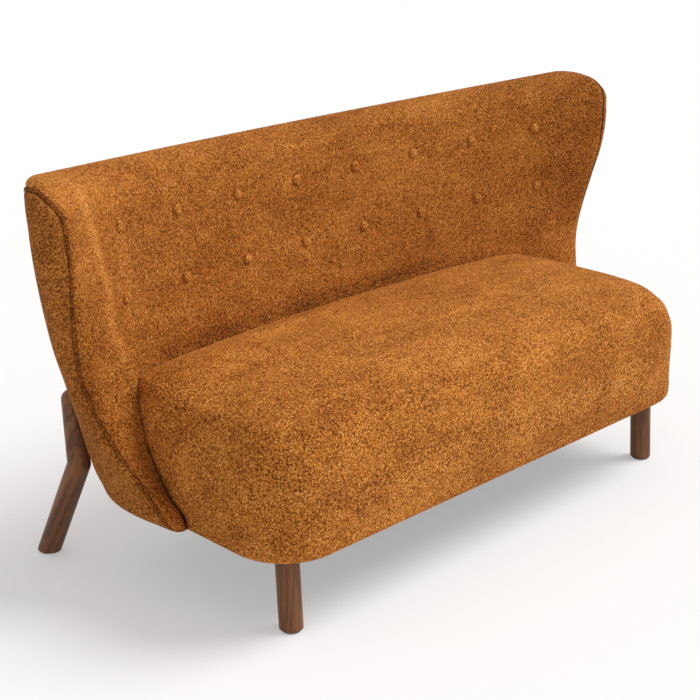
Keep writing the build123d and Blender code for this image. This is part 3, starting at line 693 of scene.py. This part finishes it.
outerPanel = {
    "rows": 64, "rollRows": (12,), "counts": (14, 44, 50), "groove": 4.0, "grooveWidth": 5.0,
    "hold": 14.0, "start": 3.0, "cap": 7.0, "slack": 1.0, "frames": 14,
}
panelPoints = makePanel(outerPanel)
# painted shade beside the seam
panelShade = seamShade(panelPoints.reshape(-1, 3))
panelFaces = gridFaces(*panelPoints.shape[:2])
panel = meshPiece("outside_back", panelPoints, panelFaces, outerCloth, merge=0.3, lightAndShade=panelShade)
at = pointsOf(panel)
held = np.maximum(np.exp(-(seamNear(at) / outerPanel["hold"]) ** 2), footOf(at))
inflate(panel, held, held, outerPanel)
pressSeam(panel, outerPanel["groove"], outerPanel["grooveWidth"])
finer(panel)
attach(panel, "root")
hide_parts("outside_back_panel")
print("outside back", len(panel.data.vertices))

welt = {"radius": 2.7, "sides": 10, "sink": 2.6}
stitch = {"radius": 0.8, "sides": 6, "sink": 2.5, "aside": 4.0, "pitch": 6.0, "thin": 0.45, "pinch": 8}


def makeTube(aside, sink, radius, sides):
    # circles square to the seam, moved to one side of it and below the cloth; the radius may change along it
    ahead = np.gradient(seamPath, axis=0)
    ahead /= np.linalg.norm(ahead, axis=1, keepdims=True)
    out = seamOut - (seamOut * ahead).sum(1, keepdims=True) * ahead
    out /= np.linalg.norm(out, axis=1, keepdims=True)
    cross = np.cross(ahead, out)
    a = np.linspace(0, 2 * np.pi, sides + 1)[None, :, None]
    ring = np.cos(a) * out[:, None] + np.sin(a) * cross[:, None]
    middle = seamPath - out * sink + cross * aside
    return middle[:, None] + np.reshape(radius, (-1, 1, 1)) * ring


weltPoints = makeTube(0.0, welt["sink"], welt["radius"], welt["sides"])
# painted shade on the welt
weltShade = np.full(weltPoints.shape[0] * weltPoints.shape[1], seamPaintedShade["welt"])
weltFaces = gridFaces(*weltPoints.shape[:2])
weltPiece = meshPiece("seam_welt", weltPoints, weltFaces, rustCloth, merge=0.05, lightAndShade=weltShade)
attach(weltPiece, "root")
along = np.concatenate([[0.0], np.cumsum(np.linalg.norm(np.diff(seamPath, axis=0), axis=1))])
thick = stitch["radius"] * (1 - stitch["thin"] * np.cos(np.pi * along / stitch["pitch"]) ** stitch["pinch"])
threads = [makeTube(side * stitch["aside"], stitch["sink"], thick, stitch["sides"]) for side in (-1, 1)]
threadFaces = gridFaces(*threads[0].shape[:2])
threadFaces = np.concatenate([threadFaces, threadFaces + threads[0].shape[0] * threads[0].shape[1]])
threadPiece = meshPiece("seam_stitching", np.concatenate(threads), threadFaces, seamThread, merge=0.02)
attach(threadPiece, "root")
print("seam", float(along[-1]))

seatForm = {
    "height": 408.0, "front": -317.0, "half": 602.5, "corner": 105.0, "gap": 2.5, "crown": 7.0,
    "share": (0.0, 0.03, 0.09, 0.19, 0.32, 0.48, 0.69, 0.83, 0.92, 0.975, 1.0),
    "fore": (16.0, 6.0, 1.0, 0.0, 0.0, 0.0, 4.0, 21.0, 56.0, 114.0, 173.0),
    "side": (16.0, 6.0, 1.0, 0.0, 0.0, 0.0, 8.0, 26.0, 57.0, 118.0, 176.0),
    "full": (16.0, 6.0, 1.0, 0.0, 0.0, 0.0, 2.0, 7.0, 14.0, 30.0, 58.0),
    # crease is the strength of the painted shade in the crease against the back, over creaseWidth
    "rearRound": 11.0, "crease": -1.6, "creaseWidth": 4.0,
    "lowShare": 0.09, "lowRows": 9, "rows": 58, "capRows": 22, "counts": (44, 22, 18, 24, 46), "flange": 0.97,
    "start": 4.0, "cap": 7.0, "slack": 5.0, "frames": 16,
}


def makeSeat(s):
    # rings round the seat from the bottom edge up, then rings that close in on the middle line of the top;
    # the left end is fuller against its wing than the right one, as photographed
    bend = np.sin(np.linspace(0, np.pi / 2, s["rows"]))
    low = s["lowShare"]
    share = np.concatenate([np.linspace(0, low, s["lowRows"])[:-1], low + (1 - low) * bend])
    z = shell["base"] + share * (s["height"] - shell["base"])
    fore = smoothAt(s["share"], s["fore"], share)
    side = smoothAt(s["share"], s["side"], share)
    level = (z - shell["base"]) / (shell["rollStart"] - shell["base"])
    arcs, place = shellArcs(level, np.zeros_like(level))
    w = s["half"] - side
    y = s["front"] + fore
    r = s["corner"]
    # the edge against the back is rounded, so a crease stays open there
    rise = np.clip((z - s["height"] + s["rearRound"]) / s["rearRound"], 0, 1)
    gap = s["gap"] + s["rearRound"] * (1 - np.sqrt(1 - rise ** 2))
    tip, tipRad = arcs["tip"][:2]
    sideMid, sideRad, sideFrom, sideTo = arcs["side"]
    limit = tip[:, 0] - np.cos(sideTo) * (tipRad + gap)
    rad = sideRad - gap
    n1, n2, n3, n4, n5 = s["counts"]

    def run(count, last=False):
        t = np.linspace(0, 1, count + 1)[None, :]
        return t if last else t[:, :-1]

    def halfRings(wingSide):
        # front line, corner, flank up to the wing, then along the wing and the back to the middle
        x = np.minimum(s["half"] - wingSide - gap, limit - gap)
        touchY = sideMid[:, 1] + np.sqrt(np.maximum(rad ** 2 - (x - sideMid[:, 0]) ** 2, 0))
        t = run(n1)
        line = np.stack([t * (w - r)[:, None], y[:, None] + 0 * t], -1)
        a = -np.pi / 2 + run(n2) * np.pi / 2
        corner = np.stack([(w - r)[:, None] + r * np.cos(a), (y + r)[:, None] + r * np.sin(a)], -1)
        t = run(n3)
        ease = t * t * (3 - 2 * t)
        flank = np.stack([w[:, None] + ease * (x - w)[:, None],
                          (y + r)[:, None] + t * (place["back"] + touchY - y - r)[:, None]], -1)
        a0 = np.arctan2(touchY - sideMid[:, 1], x - sideMid[:, 0])
        a = a0[:, None] + run(n4) * (sideFrom - a0)[:, None]
        bow = np.stack([sideMid[:, :1] + rad[:, None] * np.cos(a),
                        (place["back"] + sideMid[:, 1])[:, None] + rad[:, None] * np.sin(a)], -1)
        inMid, inRad, top, inTo = arcs["front"]
        a = inTo[:, None] + run(n5, True) * (top - inTo)[:, None]
        rear = np.stack([inMid[:, :1] + (inRad - gap)[:, None] * np.cos(a),
                         (place["back"] + inMid[:, 1])[:, None] + (inRad - gap)[:, None] * np.sin(a)], -1)
        return np.concatenate([line, corner, flank, bow, rear], 1)

    right = halfRings(side)
    left = halfRings(smoothAt(s["share"], s["full"], share)) * np.array([-1.0, 1.0])
    ring = np.concatenate([right, left[:, -2::-1]], 1)
    ring = np.concatenate([ring, np.repeat(z[:, None, None], ring.shape[1], 1)], -1)
    last = ring[-1]
    middle = (last[:, 1].min() + last[:, 1].max()) / 2
    depth = (last[:, 1].max() - last[:, 1].min()) / 2
    ends = np.clip(last[:, 0], last[:, 0].min() + depth, last[:, 0].max() - depth)
    axis = np.stack([ends, 0 * last[:, 0] + middle, last[:, 2]], -1)
    q = np.cos(np.linspace(0, np.pi / 2, s["capRows"] + 1))[1:, None, None]
    cap = axis[None] + (last - axis)[None] * q
    cap[..., 2] += s["crown"] * (1 - q[..., 0] ** 2)
    flange = ring[:1] * np.array([s["flange"], s["flange"], 1.0])
    # painted shade down in the crease against the back
    against = np.arange(right.shape[1]) >= n1 + n2 + n3 + 1
    against = np.concatenate([against, against[-2::-1]])[None, :]
    sunk = np.clip((s["height"] - z) / s["creaseWidth"], 0, 1)[:, None]
    deep = np.concatenate([0 * against, sunk * against, 0 * against * q[..., 0]], 0)
    return np.concatenate([flange, ring, cap], 0), s["crease"] * deep.ravel()


seatPoints, seatCreaseShade = makeSeat(seatForm)
seatFaces = gridFaces(*seatPoints.shape[:2])
seat = meshPiece("seat_cushion_form", seatPoints, seatFaces, seatCloth, merge=0.3, lightAndShade=seatCreaseShade)
foot = footOf(pointsOf(seat))
inflate(seat, foot, foot, seatForm)
finer(seat)
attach(seat, "root")
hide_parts("seat_cushion")
print("seat", len(seat.data.vertices))


def makeButtons(s):
    # a domed button: radius and height follow a quarter wave from rim to crown, with a tucked rim below
    wave = np.linspace(0, 1, s["steps"]) * np.pi / 2
    wide = s["radius"] * np.cos(wave) ** s["roundness"][0]
    high = s["dome"] * np.sin(wave) ** s["roundness"][1]
    rim = np.array(s["rim"]) * np.array([s["radius"], 1.0])
    profile = np.concatenate([rim, np.stack([wide, high], -1)])
    wide = profile[:, :1]
    a = np.linspace(0, 2 * np.pi, s["sides"])
    disc = np.stack([wide * np.cos(a), wide * np.sin(a), profile[:, 1:] + 0 * a], -1)
    right = np.cross([0.0, 0.0, 1.0], facings)
    right /= np.linalg.norm(right, axis=1, keepdims=True)
    turned = np.stack([right, np.cross(facings, right), facings], 1)
    base = spots - facings * (s["depth"] - s["sink"])
    placed = base[:, None, None] + np.einsum("ijk,nkl->nijl", disc, turned)
    size = disc.shape[0] * disc.shape[1]
    faces = np.concatenate([gridFaces(disc.shape[0], disc.shape[1], k * size) for k in range(len(spots))])
    return placed.reshape(-1, 3), faces


buttonPoints, buttonFaces = makeButtons(tufts)
# painted highlight on the buttons
buttonHighlight = np.full(len(buttonPoints), tufts["pale"])
buttons = meshPiece("covered_buttons", buttonPoints, buttonFaces, rustCloth, merge=0.05, lightAndShade=buttonHighlight)
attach(buttons, "root")
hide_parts("tuft_buttons")
print("buttons", len(spots))

# black cloth under seat and back, stapled round its edge and hanging a little in the middle
dustForm = {"across": 90, "along": 24, "sag": 3.0, "endFade": 4, "under": 0.2, "least": 1.0,
            "seatInset": 12.0, "backInset": 16.0, "backCounts": (40, 40, 20, 8, 30, 30)}


def dustSheet(name, node, half, inset, s):
    # half is the right half of the outline, from the front middle round to the rear middle
    turn = half[:, 0].argmax()
    fore = half[:turn + 1]
    aft = half[turn:][::-1]
    wide = half[turn, 0] - inset
    x = wide * np.sin(np.linspace(-np.pi / 2, np.pi / 2, s["across"]))
    yFore = np.interp(np.abs(x), fore[:, 0], fore[:, 1]) + inset
    yAft = np.maximum(np.interp(np.abs(x), aft[:, 0], aft[:, 1]) - inset, yFore + s["least"])
    v = np.linspace(1, 0, s["along"])[:, None]
    y = yFore + v * (yAft - yFore)
    hang = s["sag"] * np.sin(np.pi * v) * (1 - (x / wide) ** s["endFade"])
    z = 1000.0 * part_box(node)[1][2] - s["under"] - hang
    points = np.stack([x + 0 * v, y, z], -1)
    piece = meshPiece(name, points, gridFaces(*points.shape[:2]), dustCloth)
    area = ((yAft - yFore)[1:] + (yAft - yFore)[:-1]) / 2 * np.diff(x)
    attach(piece, "root")
    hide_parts(node)
    flat = (2 * wide / 1000.0, (yAft.max() - yFore.min()) / 1000.0)
    float(area.sum() / 1e6)
    print(name, "flat", flat, "area", area.sum() / 1e6, "level", z.max())


seatEdge = seatPoints[1, :sum(seatForm["counts"]) + 1, :2]
dustSheet("seat_dust_sheet", "seat_dust_cover", seatEdge, dustForm["seatInset"], dustForm)
arcs, place = shellArcs(np.zeros(1), np.zeros(1))
allArcs = ("front", "side", "tip", "edge", "flank", "rear")
backEdge = halfSection(arcs, place, allArcs, dustForm["backCounts"])
dustSheet("back_dust_sheet", "back_dust_cover", backEdge[0, :, :2], dustForm["backInset"], dustForm)

finishOf = {
    "front_leg": walnut, "rear_leg_l": walnutRear, "rear_leg_r": walnutRear, "rear_leg_block": sawnPine,
    "rear_leg_dowels": sawnPine, "back_rib": sawnPine, "back_post": sawnPine, "back_lower_rail": sawnPine,
    "seat_front": sawnPine, "seat_rear": sawnPine, "seat_center": sawnPine, "seat_side": sawnPine,
    "seat_corner": sawnPine, "seat_diagonal": sawnPine, "seat_webbing": bandCloth, "seat_felt": feltCloth,
    "button_ties": tieCord, "leg_plate": zincSteel, "tie_toggles": zincSteel, "back_bolts": zincSteel,
    "bolt_spacers": zincSteel, "hanger_bolts": zincSteel, "plate_screws": zincSteel, "foot_glide": glidePlastic,
}
# each solid takes the finish of the longest name that its own name begins with
for name, node in nodes.items():
    best = [k for k in finishOf if name.startswith(k)]
    if best and node.type == "MESH":
        node.data.materials.clear()
        node.data.materials.append(finishOf[max(best, key=len)])
print("solids finished")

# floor, light and camera
studio = {
    "floor": (250, 249, 248), "reach": 9000.0, "glow": (1.0, 1.0, 1.0, 1.0), "white": 0.36, "world": 0.48,
    "sun": 2.35, "sunAngle": 34.0, "sunFrom": (0.9, -0.5, 1.15),
    "fill": 0.1, "fillAngle": 90.0, "fillFrom": (-0.5, -0.9, 0.6),
}


def lookAt(way):
    return Vector(way).to_track_quat("Z", "Y").to_euler()


def seenRays(finish):
    # 1 for what the camera sees, straight, in a gloss or through glass
    names = ("Is Camera Ray", "Is Glossy Ray", "Is Transmission Ray")
    straight, gloss, through = (finish.add("ShaderNodeLightPath", {}, {}, name) for name in names)
    return straight + gloss + through


# the floor glows a little to the camera, so that it shows white round the shadow
f = Finish("pale_floor")
rays = seenRays(f)
matt = f.add("ShaderNodeBsdfDiffuse", {}, {"Color": tint(*studio["floor"])})
white = f.add("ShaderNodeEmission", {}, {"Color": studio["glow"], "Strength": 1.0})
lit = f.add("ShaderNodeMixShader", {}, {0: rays * studio["white"], 1: matt, 2: white})
floorMaterial = f.add("ShaderNodeOutputMaterial", {}, {"Surface": lit})
corners = np.array([[-1.0, -1.0, 0.0], [1.0, -1.0, 0.0], [1.0, 1.0, 0.0], [-1.0, 1.0, 0.0]])
floorPoints = studio["reach"] * corners
floor = meshPiece("studio_floor", floorPoints, np.array([[0, 1, 2, 3]]), floorMaterial)
world = bpy.data.worlds.new("studio")
scene.world = world
f = Finish("studio", world)
sky = f.add("ShaderNodeBackground", {}, {"Color": studio["glow"], "Strength": studio["world"]})
seen = f.add("ShaderNodeBackground", {}, {"Color": studio["glow"], "Strength": 1.0})
lit = f.add("ShaderNodeMixShader", {}, {0: seenRays(f), 1: sky, 2: seen})
f.add("ShaderNodeOutputWorld", {}, {"Surface": lit})
for name, power, way, spread in (("key", studio["sun"], studio["sunFrom"], studio["sunAngle"]),
                                 ("fill", studio["fill"], studio["fillFrom"], studio["fillAngle"])):
    lamp = bpy.data.lights.new(name, "SUN")
    lamp.energy = power
    lamp.angle = math.radians(spread)
    light = bpy.data.objects.new(name, lamp)
    light.rotation_euler = lookAt(way)
    scene.collection.objects.link(light)

view = {"at": (-2.2252, -2.0418, 1.3816), "turn": 45.906, "drop": 19.427, "focal": 1608.0, "picture": 700.0,
        "sensor": 36.0}
lens = bpy.data.cameras.new("camera")
lens.lens = view["focal"] * view["sensor"] / view["picture"]
lens.sensor_width = view["sensor"]
camera = bpy.data.objects.new("camera", lens)
camera.location = view["at"]
turn = math.radians(view["turn"])
drop = math.radians(view["drop"])
ahead = Vector((math.sin(turn) * math.cos(drop), math.cos(turn) * math.cos(drop), -math.sin(drop)))
camera.rotation_euler = lookAt(-ahead)
scene.collection.objects.link(camera)
scene.camera = camera
print("studio set")
